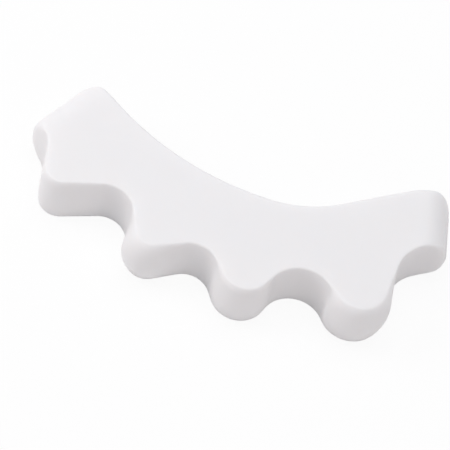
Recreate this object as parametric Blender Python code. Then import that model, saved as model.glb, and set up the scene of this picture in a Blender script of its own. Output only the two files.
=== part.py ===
"""Toe separator: one soft comb of silicone with four fingers that sit between five toes."""
import math

import bmesh
import bpy
from mathutils import Vector

# Plan sizes are metres from the deepest point of the hollow back edge.
# +X runs towards the big toe and -Y towards the toes.
THICKNESS = 0.0122
EDGE_ROUND = 0.0007

# Each finger: where its middle is, how far its tip reaches, the radius of its tip
FINGERS = (
    (-0.0436, -0.0128, 0.0043),
    (-0.0215, -0.0211, 0.0041),
    (-0.0006, -0.0242, 0.0058),
    (0.0232, -0.0208, 0.0064),
)

# Each toe seat between two fingers: its middle, its floor, its radius
TOE_SEATS = (
    (-0.0326, -0.0093, 0.0059),
    (-0.0116, -0.0169, 0.0056),
    (0.0119, -0.0148, 0.0070),
)

# Half seat outside the first finger: where its wall is, its middle, its radius
LITTLE_TOE_SEAT = (-0.0486, -0.0051, 0.0063)

# Half seat outside the last finger: its middle, its floor, its radius
BIG_TOE_SEAT = (0.0389, 0.0011, 0.0090)

# Back edge: a wide sweep to the little toe end and a tighter one to the big toe end
BACK_SWEEP_WIDE = 0.0640
BACK_SWEEP_TIGHT = 0.0265
SHOULDER = (0.0363, -0.0010, 0.0164)

# Little toe end: the corner beside the toe, the slope of the cut, the radius of the back corner
LITTLE_TOE_TIP = (-0.0516, 0.0030, 0.0018)
LITTLE_TOE_CUT = math.radians(60.1)
LITTLE_TOE_HEEL_RADIUS = 0.0045

# Big toe end: the corner beside the toe and the back corner
BIG_TOE_TIP = (0.0380, 0.0026, 0.0018)
BIG_TOE_HEEL = (0.0345, 0.0119, 0.0036)

# Both ends roll down from each face like a bull nose
NOSE_LENGTH = 0.0063
NOSE_EDGE = 0.0022
NOSE_STEPS = 9

# How finely the curves are drawn
ARC_STEP = math.radians(8.0)
LONGEST_CHORD = 0.0026
EDGE_STEPS = 2
SHARP_ANGLE = math.radians(40.0)

# Two arcs that meet keep this much apart, and points closer than the last value are one
ARC_GAP = 0.0001
SMALLEST_SHARE = 0.2
SAME_POINT = 0.00005
WELD = 0.00001

SILICONE = ((0.86, 0.86, 0.85, 1.0), 0.45)

CONVEX = 1
HOLLOW = -1


def clear_scene():
    for item in list(bpy.data.objects):
        bpy.data.objects.remove(item, do_unlink=True)


def make_collection(name):
    group = bpy.data.collections.new(name)
    bpy.context.scene.collection.children.link(group)
    return group


def make_material(name, colour, roughness):
    material = bpy.data.materials.new(name)
    material.use_nodes = True
    shader = material.node_tree.nodes["Principled BSDF"]
    shader.inputs["Base Color"].default_value = colour
    shader.inputs["Roughness"].default_value = roughness
    shader.inputs["Metallic"].default_value = 0.0
    material.diffuse_color = colour
    return material


def little_toe_heel():
    """Centre of the back corner that touches both the cut end and the wide sweep."""
    along = Vector((math.cos(LITTLE_TOE_CUT), math.sin(LITTLE_TOE_CUT)))
    inward = Vector((along.y, -along.x))
    start = Vector(LITTLE_TOE_TIP[:2]) + inward * (LITTLE_TOE_HEEL_RADIUS - LITTLE_TOE_TIP[2])
    offset = start - Vector((0.0, BACK_SWEEP_WIDE))
    apart = BACK_SWEEP_WIDE + LITTLE_TOE_HEEL_RADIUS + ARC_GAP
    half = offset.dot(along)
    root = math.sqrt(max(0.0, half * half - offset.length_squared + apart * apart))
    return start - along * (half + root)


def outline_arcs():
    """The arcs of the outline in order, with the silicone on the left: centre, radius, side."""
    arcs = [(Vector(LITTLE_TOE_TIP[:2]), LITTLE_TOE_TIP[2], CONVEX)]
    wall, middle, radius = LITTLE_TOE_SEAT
    arcs.append((Vector((wall - radius, middle)), radius, HOLLOW))
    for number, (middle, reach, radius) in enumerate(FINGERS):
        arcs.append((Vector((middle, reach + radius)), radius, CONVEX))
        if number < len(TOE_SEATS):
            middle, floor, radius = TOE_SEATS[number]
            arcs.append((Vector((middle, floor - radius)), radius, HOLLOW))
    middle, floor, radius = BIG_TOE_SEAT
    arcs.append((Vector((middle, floor - radius)), radius, HOLLOW))
    for x, y, radius in (BIG_TOE_TIP, BIG_TOE_HEEL, SHOULDER):
        arcs.append((Vector((x, y)), radius, CONVEX))
    for radius in (BACK_SWEEP_TIGHT, BACK_SWEEP_WIDE):
        arcs.append((Vector((0.0, radius)), radius, HOLLOW))
    arcs.append((little_toe_heel(), LITTLE_TOE_HEEL_RADIUS, CONVEX))
    return limit_radii(arcs)


def limit_radii(arcs):
    """A finger and the seat beside it share the room between their centres."""
    radii = [radius for centre, radius, side in arcs]
    for here in range(len(arcs)):
        other = (here + 1) % len(arcs)
        if arcs[here][2] == arcs[other][2]:
            continue
        room = (arcs[other][0] - arcs[here][0]).length - ARC_GAP
        if radii[here] + radii[other] > room:
            small = here if radii[here] < radii[other] else other
            large = other if small == here else here
            radii[small] = max(room - radii[large], SMALLEST_SHARE * radii[small])
    return [(arc[0], radius, arc[2]) for arc, radius in zip(arcs, radii)]


def heading_between(first, second):
    """Direction of the straight that touches both arcs."""
    step = second[0] - first[0]
    ratio = (second[2] * second[1] - first[2] * first[1]) / step.length
    return math.atan2(step.y, step.x) - math.asin(max(-1.0, min(1.0, ratio)))


def touch_point(arc, heading):
    centre, radius, side = arc
    return centre + side * radius * Vector((math.sin(heading), -math.cos(heading)))


def outline_points(arcs):
    """Points round the outline: each arc in equal turns, the straights between left whole."""
    points = []
    for number, arc in enumerate(arcs):
        arrive = heading_between(arcs[number - 1], arc)
        leave = heading_between(arc, arcs[(number + 1) % len(arcs)])
        turn = (arc[2] * (leave - arrive)) % (2.0 * math.pi)
        # A turn of almost a whole circle is a tiny turn the other way
        if turn > 1.9 * math.pi:
            turn = 0.0
        parts = max(1, math.ceil(turn / ARC_STEP), math.ceil(turn * arc[1] / LONGEST_CHORD))
        for part in range(parts + 1):
            points.append(touch_point(arc, arrive + arc[2] * turn * part / parts))
    return drop_repeats(points)


def drop_repeats(points):
    kept = []
    for point in points:
        if not kept or (point - kept[-1]).length > SAME_POINT:
            kept.append(point)
    if (kept[0] - kept[-1]).length <= SAME_POINT:
        kept.pop()
    return kept


def plate_from_outline(points, material, group):
    """The outline as a plate with rounded rims, its middle plane at half the thickness."""
    curve = bpy.data.curves.new("plate_outline", "CURVE")
    curve.dimensions = "2D"
    curve.fill_mode = "BOTH"
    curve.extrude = THICKNESS / 2.0 - EDGE_ROUND
    curve.bevel_depth = EDGE_ROUND
    curve.bevel_resolution = EDGE_STEPS
    curve.offset = -EDGE_ROUND
    spline = curve.splines.new("POLY")
    spline.points.add(len(points) - 1)
    for slot, point in zip(spline.points, points):
        slot.co = (point.x, point.y, 0.0, 1.0)
    spline.use_cyclic_u = True
    drawn = bpy.data.objects.new("plate_outline", curve)
    drawn.location.z = THICKNESS / 2.0
    group.objects.link(drawn)
    bpy.context.view_layer.update()
    evaluated = drawn.evaluated_get(bpy.context.evaluated_depsgraph_get())
    mesh = bpy.data.meshes.new_from_object(evaluated)
    solid = bpy.data.objects.new("toe_separator", mesh)
    solid.matrix_world = drawn.matrix_world.copy()
    bpy.data.objects.remove(drawn, do_unlink=True)
    mesh.name = "toe_separator"
    mesh.materials.clear()
    mesh.materials.append(material)
    group.objects.link(solid)
    return solid


def cut_end(first, second):
    """Outward direction of a cut end and how far out its face lies."""
    heading = heading_between(first, second)
    outward = Vector((math.sin(heading), -math.cos(heading)))
    return outward, touch_point(first, heading).dot(outward)


def roll_end(shape, outward, reach):
    """Cut the plate across near one end and roll both faces down to the nose."""
    tip = math.acos(NOSE_EDGE / THICKNESS)
    start = reach - NOSE_LENGTH
    full = NOSE_LENGTH / math.sin(tip)
    normal = Vector((outward.x, outward.y, 0.0))
    for step in range(NOSE_STEPS):
        place = start + full * math.sin(tip * step / NOSE_STEPS)
        everything = shape.verts[:] + shape.edges[:] + shape.faces[:]
        bmesh.ops.bisect_plane(shape, geom=everything, dist=WELD, plane_co=normal * place, plane_no=normal)
    for vertex in shape.verts:
        beyond = (vertex.co.dot(normal) - start) / full
        if beyond > 0.0:
            vertex.co.z *= math.sqrt(max(0.0, 1.0 - beyond * beyond))


def centre_in_plan(shape):
    across = [vertex.co.x for vertex in shape.verts]
    along = [vertex.co.y for vertex in shape.verts]
    shift = Vector((-(min(across) + max(across)) / 2.0, -(min(along) + max(along)) / 2.0, 0.0))
    bmesh.ops.translate(shape, verts=shape.verts, vec=shift)


def build():
    clear_scene()
    group = make_collection("toe_separator_model")
    silicone = make_material("white_silicone", *SILICONE)
    arcs = outline_arcs()
    solid = plate_from_outline(outline_points(arcs), silicone, group)

    shape = bmesh.new()
    shape.from_mesh(solid.data)
    bmesh.ops.remove_doubles(shape, verts=shape.verts, dist=WELD)
    # The fingers, their seats, both half seats and the first tip come before the big toe tip
    big_toe_tip = len(FINGERS) + len(TOE_SEATS) + 3
    roll_end(shape, *cut_end(arcs[-1], arcs[0]))
    roll_end(shape, *cut_end(arcs[big_toe_tip], arcs[big_toe_tip + 1]))
    centre_in_plan(shape)
    bmesh.ops.recalc_face_normals(shape, faces=shape.faces)
    shape.to_mesh(solid.data)
    shape.free()
    solid.data.shade_smooth()
    solid.data.set_sharp_from_angle(angle=SHARP_ANGLE)


build()
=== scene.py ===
# Toe separator: a soft white silicone comb with four rounded fingers.
# Lengths are metres and angles are degrees.
import math

import bmesh
import bpy
import numpy as np
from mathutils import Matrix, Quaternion, Vector, geometry, noise


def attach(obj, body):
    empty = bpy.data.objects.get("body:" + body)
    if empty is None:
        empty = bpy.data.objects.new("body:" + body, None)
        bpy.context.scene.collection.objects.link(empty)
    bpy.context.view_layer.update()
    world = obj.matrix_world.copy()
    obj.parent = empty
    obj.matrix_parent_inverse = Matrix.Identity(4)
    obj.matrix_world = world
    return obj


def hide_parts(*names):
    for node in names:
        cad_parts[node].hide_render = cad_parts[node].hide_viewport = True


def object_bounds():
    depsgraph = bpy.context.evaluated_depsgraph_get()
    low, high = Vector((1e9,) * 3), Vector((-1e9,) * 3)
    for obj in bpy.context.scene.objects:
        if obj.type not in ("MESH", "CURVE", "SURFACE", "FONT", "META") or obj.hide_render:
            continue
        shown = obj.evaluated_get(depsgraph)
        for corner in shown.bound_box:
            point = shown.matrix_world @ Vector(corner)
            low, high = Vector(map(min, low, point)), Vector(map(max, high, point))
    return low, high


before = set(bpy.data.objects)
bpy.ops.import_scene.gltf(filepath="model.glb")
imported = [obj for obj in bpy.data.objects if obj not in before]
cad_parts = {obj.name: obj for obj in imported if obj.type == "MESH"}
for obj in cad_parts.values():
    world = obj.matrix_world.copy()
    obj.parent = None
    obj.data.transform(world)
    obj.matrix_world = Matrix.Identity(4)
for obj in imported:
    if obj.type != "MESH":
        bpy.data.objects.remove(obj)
cadLow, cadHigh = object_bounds()
print("frame loaded:", ", ".join(sorted(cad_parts)))


# The comb's outline is a belt round circles, measured from the deepest point of the back edge.
# +x runs towards the big toe and -y towards the toes.
# A rim is its width, its drop, and how far the wall below it swells half way up.
comb = {
    "thickness": 0.0122,
    "fingers": (                      # middle, reach and radius of the tip, its rim
        (-0.0436, -0.0128, 0.0043, (0.0007, 0.0020, 0.0003)),
        (-0.0215, -0.0211, 0.0041, (0.0008, 0.0030, 0.0018)),
        (-0.0006, -0.0242, 0.0058, (0.0005, 0.0015, 0.0008)),
        (0.0232, -0.0208, 0.0064, (0.0008, 0.0030, 0.0012)),
    ),
    "toeSeats": (                     # middle, floor, radius
        (-0.0326, -0.0093, 0.0059),
        (-0.0116, -0.0169, 0.0056),
        (0.0119, -0.0148, 0.0070),
    ),
    "littleToeSeat": (-0.0486, -0.0051, 0.0063),   # wall, middle, radius
    "bigToeSeat": (0.0389, 0.0011, 0.0090),        # middle, floor, radius
    "backSweepWide": 0.0640,
    "backSweepTight": 0.0265,
    "shoulder": (0.0363, -0.0010, 0.0164),
    "littleToeTip": (-0.0516, 0.0030, 0.0018),
    "littleToeCut": 60.1,             # slope of the cut end
    "littleToeHeel": 0.0045,          # radius of the back corner
    "bigToeTip": (0.0380, 0.0026, 0.0018),
    "bigToeHeel": (0.0345, 0.0119, 0.0036),
    "arcGap": 0.0001,                 # room left between two arcs that meet
    "lean": 0.00044,                  # how much wider the underside is than the top, all round
    "noseLength": 0.0063,             # how far each end rolls down
    "noseEdge": 0.0022,               # height left at the very end
    "seatRim": (0.0004, 0.0004, 0.0),
    "backRim": (0.0005, 0.0006, 0.0),
    "cornerRim": (0.0009, 0.0012, 0.0),
    "tipRim": (0.0012, 0.0045, 0.0),  # at the two corners beside the outer toes
    "lowerRim": 0.0004,               # the crisper rim all round the underside
    "rimBlend": 0.0006,               # how softly one rim runs into the next
    "rimPasses": 3,
    "ringStep": 0.00042,
    "gridStep": 0.00085,
    "gridMargin": 0.004,              # how far the grid starts outside the outline
    "gridClear": 0.55,                # share of a grid step that stays free beside the ring
    "rimRows": 10,
    "wallRows": 10,
    "softening": 0.5,
    "wobble": 0.000035,               # slow unevenness of a moulded soft surface
    "wobblePitch": 0.011,
    "wobbleShift": 0.5,               # keeps most of the unevenness inside the solid
}


def beltArcs():
    # centre, radius, side (+1 round outwards, -1 hollow), rim; the silicone is on the left
    c = comb
    tip, heelRadius, wide = c["littleToeTip"], c["littleToeHeel"], c["backSweepWide"]
    arcs = [[Vector(tip[:2]), tip[2], 1, c["tipRim"]]]
    wall, middle, radius = c["littleToeSeat"]
    arcs.append([Vector((wall - radius, middle)), radius, -1, c["seatRim"]])
    for number, (middle, reach, radius, rim) in enumerate(c["fingers"]):
        arcs.append([Vector((middle, reach + radius)), radius, 1, rim])
        if number < len(c["toeSeats"]):
            middle, floor, radius = c["toeSeats"][number]
            arcs.append([Vector((middle, floor - radius)), radius, -1, c["seatRim"]])
    middle, floor, radius = c["bigToeSeat"]
    arcs.append([Vector((middle, floor - radius)), radius, -1, c["seatRim"]])
    for name, rim in (("bigToeTip", "tipRim"), ("bigToeHeel", "cornerRim"), ("shoulder", "cornerRim")):
        x, y, radius = c[name]
        arcs.append([Vector((x, y)), radius, 1, c[rim]])
    for radius in (c["backSweepTight"], wide):
        arcs.append([Vector((0.0, radius)), radius, -1, c["backRim"]])

    # the last corner touches both the cut end and the wide sweep
    slope = math.radians(c["littleToeCut"])
    along = Vector((math.cos(slope), math.sin(slope)))
    start = Vector(tip[:2]) + Vector((along.y, -along.x)) * (heelRadius - tip[2])
    offset = start - Vector((0.0, wide))
    apart = wide + heelRadius + c["arcGap"]
    half = offset.dot(along)
    root = math.sqrt(half * half - offset.length_squared + apart * apart)
    arcs.append([start - along * (half + root), heelRadius, 1, c["cornerRim"]])

    # neighbours on opposite sides share the room between their centres
    for here, arc in enumerate(arcs):
        other = arcs[(here + 1) % len(arcs)]
        room = (other[0] - arc[0]).length - c["arcGap"]
        if arc[2] != other[2] and arc[1] + other[1] > room:
            small, large = sorted((arc, other), key=lambda a: a[1])
            small[1] = room - large[1]
    return arcs


def heading(first, second):
    # direction of the straight that touches both arcs
    step = second[0] - first[0]
    turn = (second[2] * second[1] - first[2] * first[1]) / step.length
    return math.atan2(step.y, step.x) - math.asin(max(-1.0, min(1.0, turn)))


def sideways(angle):
    return Vector((math.sin(angle), -math.cos(angle)))


def walkOutline(arcs):
    # evenly spaced points with their outward direction and rim
    walk = []
    for number, (centre, radius, side, rim) in enumerate(arcs):
        following = arcs[(number + 1) % len(arcs)]
        rim = np.array(rim)
        arrive = heading(arcs[number - 1], arcs[number])
        leave = heading(arcs[number], following)
        turn = (side * (leave - arrive)) % (2 * math.pi)
        # a turn of almost a whole circle is a tiny turn the other way
        if turn > 1.9 * math.pi:
            turn = 0.0
        parts = max(1, math.ceil(turn * radius / comb["ringStep"]))
        for part in range(parts):
            angle = arrive + side * turn * part / parts
            walk.append((centre + sideways(angle) * side * radius, sideways(angle), rim))
        start = centre + sideways(leave) * side * radius
        end = following[0] + sideways(leave) * following[2] * following[1]
        parts = max(1, math.ceil((end - start).length / comb["ringStep"]))
        for part in range(parts):
            share = part / parts
            blend = rim + (following[3] - rim) * share
            walk.append((start.lerp(end, share), sideways(leave), blend))
    points = np.array([tuple(p) for p, n, r in walk])
    normals = np.array([tuple(n) for p, n, r in walk])
    rims = np.array([r for p, n, r in walk])
    reach = max(1, round(comb["rimBlend"] / comb["ringStep"]))
    for again in range(comb["rimPasses"]):
        shifted = [np.roll(rims, shift, 0) for shift in range(-reach, reach + 1)]
        rims = sum(shifted) / len(shifted)
    return points, normals, rims


def cutEnds(arcs):
    # outward direction of each cut end, where it starts to roll, and the length of the full roll
    # the first tip, both half seats, the fingers and their seats come before the big toe tip
    bigTip = len(comb["fingers"]) + len(comb["toeSeats"]) + 3
    ends = []
    for first, second in ((arcs[-1], arcs[0]), (arcs[bigTip], arcs[bigTip + 1])):
        angle = heading(first, second)
        outward = sideways(angle)
        face = (first[0] + outward * first[1]).dot(outward)
        last = math.acos(comb["noseEdge"] / comb["thickness"])
        full = comb["noseLength"] / math.sin(last)
        ends.append((np.array(outward), face - comb["noseLength"], full))
    return ends


def insideRing(points, ring):
    crossings = np.zeros(len(points), int)
    for (x0, y0), (x1, y1) in zip(ring, np.roll(ring, -1, 0)):
        spans = (y0 > points[:, 1]) != (y1 > points[:, 1])
        if y0 != y1:
            crossings += spans & (points[:, 0] < x0 + (points[:, 1] - y0) * (x1 - x0) / (y1 - y0))
    return crossings % 2 == 1


def gridPoints(ring, ends):
    # a three-way grid of points inside the ring, drawn together where an end rolls down
    step = comb["gridStep"]
    low, high = ring.min(0) - comb["gridMargin"], ring.max(0) + comb["gridMargin"]
    rows = np.arange(low[1], high[1], step * math.sqrt(0.75))
    grid = np.array([
        (x + (step / 2 if number % 2 else 0.0), y)
        for number, y in enumerate(rows)
        for x in np.arange(low[0], high[0], step)
    ])
    for outward, start, full in ends:
        beyond = grid @ outward - start
        # only the points near this end are drawn in, and those past its roll are left out
        quarter = full * math.pi / 2
        near = (beyond > 0) & (beyond < quarter)
        drawn = np.where(near, full * np.sin(np.clip(beyond / full, 0, math.pi / 2)), beyond)
        grid = grid + (drawn - beyond)[:, None] * outward
        grid = grid[~((beyond >= quarter) & (beyond < full * 3))]
    grid = grid[insideRing(grid, ring)]
    gaps = np.array([np.min(np.hypot(*(ring - point).T)) for point in grid])
    return grid[gaps > comb["gridClear"] * step]


def buildComb():
    arcs = beltArcs()
    points, normals, rims = walkOutline(arcs)
    widths, drops, swells = rims.T
    ends = cutEnds(arcs)
    half = comb["thickness"] / 2
    around = len(points)
    lowerRims = np.full(around, comb["lowerRim"])
    bm = bmesh.new()
    rings = []

    def addRing(inset, heights):
        # the walls lean out towards the underside and swell half way up
        rise = heights / half
        inward = inset + comb["lean"] / 2 * rise - swells * (1 - rise ** 2)
        plan = points - normals * inward[:, None]
        rings.append([bm.verts.new((x, y, z)) for (x, y), z in zip(plan, heights)])
        return plan

    def addFlat(ring, inner, height):
        # one flat face inside its innermost ring
        grid = gridPoints(inner, ends)
        flat = [Vector(p) for p in inner] + [Vector(p) for p in grid]
        loop = [(here, (here + 1) % around) for here in range(around)]
        made = geometry.delaunay_2d_cdt(flat, loop, [], 1, 1e-9)
        corners = []
        for place, source in zip(made[0], made[3]):
            known = [s for s in source if s < around]
            corners.append(ring[known[0]] if known else bm.verts.new((place.x, place.y, height)))
        for triangle in made[2]:
            face = [corners[c] for c in triangle]
            bm.faces.new(face if height > 0 else face[::-1])

    # from the underside's flat, round its rim, up the wall and over the upper rim
    rows = comb["rimRows"]
    for row in range(rows + 1):
        angle = math.radians(90 - 90 * row / rows)
        plan = addRing(lowerRims * (1 - math.cos(angle)), -half + lowerRims * (1 - math.sin(angle)))
        if row == 0:
            addFlat(rings[0], plan, -half)
    for row in range(1, comb["wallRows"]):
        share = row / comb["wallRows"]
        addRing(0.0, (half - drops) * share - (half - lowerRims) * (1 - share))
    for row in range(rows + 1):
        angle = math.radians(90 * row / rows)
        plan = addRing(widths * (1 - math.cos(angle)), half - drops * (1 - math.sin(angle)))
    addFlat(rings[-1], plan, half)
    for lower, upper in zip(rings, rings[1:]):
        for here in range(around):
            after = (here + 1) % around
            bm.faces.new((lower[here], lower[after], upper[after], upper[here]))

    rollEnds(bm, ends)
    softenSkin(bm)

    # the middle of the CAD solid's box is the middle of the outline's
    middle = (points.min(0) + points.max(0)) / 2
    shift = (cadLow + cadHigh) / 2 - Vector((middle[0], middle[1], 0))
    bmesh.ops.translate(bm, verts=bm.verts, vec=shift)
    mesh = bpy.data.meshes.new("silicone_comb")
    bm.to_mesh(mesh)
    bm.free()
    mesh.shade_smooth()
    piece = bpy.data.objects.new("silicone_comb", mesh)
    bpy.context.scene.collection.objects.link(piece)
    return piece


def rollEnds(bm, ends):
    # both faces roll down to the nose like a quarter of an ellipse
    for v in bm.verts:
        for outward, start, full in ends:
            beyond = (v.co.x * outward[0] + v.co.y * outward[1] - start) / full
            if beyond > 0:
                v.co.z *= math.sqrt(max(0.0, 1 - beyond * beyond))


def softenSkin(bm):
    bmesh.ops.smooth_vert(
        bm, verts=bm.verts, factor=comb["softening"], use_axis_x=True, use_axis_y=True, use_axis_z=True
    )
    bmesh.ops.recalc_face_normals(bm, faces=bm.faces)
    bm.normal_update()
    for v in bm.verts:
        unevenness = noise.noise(v.co / comb["wobblePitch"]) - comb["wobbleShift"]
        v.co += v.normal * comb["wobble"] * unevenness


piece = buildComb()
print("comb built:", len(piece.data.vertices), "points,", len(piece.data.polygons), "faces")


# Materials: a Strand is one node output, and + - * on it add Math nodes
class Strand:
    def __init__(self, maker, socket):
        self.maker = maker
        self.socket = socket

    def combine(self, operation, first, second):
        return self.maker.add("ShaderNodeMath", {"operation": operation}, {0: first, 1: second})

    def __add__(self, other):
        return self.combine("ADD", self, other)

    def __radd__(self, other):
        return self.combine("ADD", other, self)

    def __sub__(self, other):
        return self.combine("SUBTRACT", self, other)

    def __rsub__(self, other):
        return self.combine("SUBTRACT", other, self)

    def __mul__(self, other):
        return self.combine("MULTIPLY", self, other)

    def __rmul__(self, other):
        return self.combine("MULTIPLY", other, self)


class Finish:
    def __init__(self, holder):
        holder.use_nodes = True
        self.holder = holder
        self.tree = holder.node_tree
        self.surface = self.tree.nodes.get("Principled BSDF")

    def add(self, kind, settings=None, sockets=None, output=0):
        made = self.tree.nodes.new(kind)
        for name, value in (settings or {}).items():
            setattr(made, name, value)
        for name, value in (sockets or {}).items():
            self.feed(made.inputs[name], value)
        return Strand(self, made.outputs[output])

    def feed(self, socket, value):
        if isinstance(value, Strand):
            self.tree.links.new(value.socket, socket)
        else:
            socket.default_value = value

    def set(self, **values):
        for name, value in values.items():
            self.feed(self.surface.inputs[name.replace("_", " ")], value)

    def show(self, outputNode, strand):
        self.tree.links.new(strand.socket, self.tree.nodes[outputNode].inputs["Surface"])


silicone = {
    "cool": (0.852, 0.852, 0.860, 1.0),
    "warm": (0.868, 0.858, 0.856, 1.0),
    "clouds": (70.0, 3.0),            # scale and detail: milky clouds about 14 mm across
    "patches": (260.0, 4.0),
    "grain": (3200.0, 2.0),           # fine skin of the mould
    "ripple": (190.0, 1.0),
    "grainDepth": 0.000012,
    "rippleDepth": 0.00006,
    "roughness": 0.48,
    "roughnessSwing": 0.08,
    "shine": 0.35,
    "bending": 1.41,                  # refractive index of silicone
    "glow": 0.6,
    "glowReach": (1.0, 0.95, 0.92),
    "glowScale": 0.0025,
}


def makeSilicone():
    s = silicone
    finish = Finish(bpy.data.materials.new("white_silicone_skin"))
    place = finish.add("ShaderNodeTexCoord", output="Object")

    def speckle(name):
        scale, detail = s[name]
        sockets = {"Vector": place, "Scale": scale, "Detail": detail}
        return finish.add("ShaderNodeTexNoise", None, sockets)

    def bump(height, depth, under):
        sockets = {"Height": height, "Distance": depth, "Strength": 1.0}
        return finish.add("ShaderNodeBump", None, {**sockets, **under})

    mix = {0: speckle("clouds"), 6: s["cool"], 7: s["warm"]}
    tint = finish.add("ShaderNodeMix", {"data_type": "RGBA"}, mix, output=2)
    roughness = s["roughness"] + (speckle("patches") - 0.5) * s["roughnessSwing"]
    soft = bump(speckle("ripple"), s["rippleDepth"], {})
    skin = bump(speckle("grain"), s["grainDepth"], {"Normal": soft})
    finish.set(Base_Color=tint, Roughness=roughness, Normal=skin)
    finish.set(Metallic=0.0, IOR=s["bending"], Specular_IOR_Level=s["shine"])
    finish.set(Subsurface_Weight=s["glow"], Subsurface_Scale=s["glowScale"])
    finish.set(Subsurface_Radius=s["glowReach"])
    return finish.holder


piece.data.materials.append(makeSilicone())
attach(piece, "root")
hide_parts("toe_separator")
print("silicone finish made")


studio = {
    "floorSize": 4.0,
    "floorDrop": 0.00005,             # keeps the floor clear of the underside
    "floorColour": (0.93, 0.93, 0.93, 1.0),
    "floorRoughness": 0.9,
    "floorShown": 0.9,                # share of plain white that the camera sees on the floor
    "plainWhite": (1.0, 1.0, 1.0, 1.0),
    "worldColour": (1.0, 0.95, 0.97, 1.0),
    "worldStrength": 0.45,
    "lamps": (                        # name, place, size, watts, colour; all face the comb
        ("overhead_panel", (-0.02, 0.15, 0.63), 0.55, 1.86, (0.905, 0.965, 1.0)),
        ("left_panel", (-0.50, 0.0, 0.38), 0.30, 1.2, (1.0, 0.97, 0.96)),
        ("right_panel", (0.40, -0.40, 0.30), 0.30, 0.3, (1.0, 0.93, 0.88)),
    ),
}


def seenRays(finish):
    # only the camera sees the plain white
    return finish.add("ShaderNodeLightPath", output="Is Camera Ray")


def makeFloor():
    half = studio["floorSize"] / 2
    corners = [(-half, -half, 0), (half, -half, 0), (half, half, 0), (-half, half, 0)]
    mesh = bpy.data.meshes.new("floor")
    mesh.from_pydata(corners, [], [(0, 1, 2, 3)])
    floor = bpy.data.objects.new("floor", mesh)
    floor.location.z = cadLow.z - studio["floorDrop"]
    bpy.context.scene.collection.objects.link(floor)
    finish = Finish(bpy.data.materials.new("white_floor"))
    finish.set(Base_Color=studio["floorColour"], Roughness=studio["floorRoughness"], Specular_IOR_Level=0.0)
    share = seenRays(finish) * studio["floorShown"]
    white = finish.add("ShaderNodeEmission", None, {"Color": studio["plainWhite"], "Strength": 1.0})
    surface = Strand(finish, finish.surface.outputs[0])
    mixed = finish.add("ShaderNodeMixShader", None, {0: share, 1: surface, 2: white})
    finish.show("Material Output", mixed)
    mesh.materials.append(finish.holder)


def makeWorld():
    world = bpy.data.worlds.new("soft_studio")
    bpy.context.scene.world = world
    finish = Finish(world)
    glow = {"Color": studio["worldColour"], "Strength": studio["worldStrength"]}
    light = finish.add("ShaderNodeBackground", None, glow)
    white = finish.add("ShaderNodeBackground", None, {"Color": studio["plainWhite"], "Strength": 1.0})
    mixed = finish.add("ShaderNodeMixShader", None, {0: seenRays(finish), 1: light, 2: white})
    finish.show("World Output", mixed)


def makeLamps():
    for name, place, size, watts, colour in studio["lamps"]:
        data = bpy.data.lights.new(name, "AREA")
        data.shape = "SQUARE"
        data.size = size
        data.energy = watts
        data.color = colour
        lamp = bpy.data.objects.new(name, data)
        lamp.location = place
        lamp.rotation_mode = "QUATERNION"
        lamp.rotation_quaternion = (-Vector(place)).to_track_quat("-Z", "Y")
        bpy.context.scene.collection.objects.link(lamp)


makeFloor()
makeWorld()
makeLamps()
print("studio lit")


camera = {
    "target": (-0.00065, -0.00584, 0.0122),
    "distance": 0.37583,
    "azimuth": 2.04,
    "elevation": 56.86,
    "roll": 15.57,
    "lens": 144.0,                    # millimetres, like the sensor
    "sensor": 36.0,
    "nearest": 0.01,
    "farthest": 20.0,
}


def makeCamera():
    data = bpy.data.cameras.new("camera")
    data.lens = camera["lens"]
    data.sensor_width = camera["sensor"]
    data.clip_start = camera["nearest"]
    data.clip_end = camera["farthest"]
    eye = bpy.data.objects.new("camera", data)
    bpy.context.scene.collection.objects.link(eye)
    around, up = math.radians(camera["azimuth"]), math.radians(camera["elevation"])
    back = Vector((math.sin(around) * math.cos(up), -math.cos(around) * math.cos(up), math.sin(up)))
    eye.location = Vector(camera["target"]) + back * camera["distance"]
    eye.rotation_mode = "QUATERNION"
    roll = Quaternion((0.0, 0.0, 1.0), math.radians(camera["roll"]))
    eye.rotation_quaternion = (-back).to_track_quat("-Z", "Y") @ roll
    bpy.context.scene.camera = eye


makeCamera()
bpy.context.scene.view_settings.view_transform = "Standard"
print("camera set")
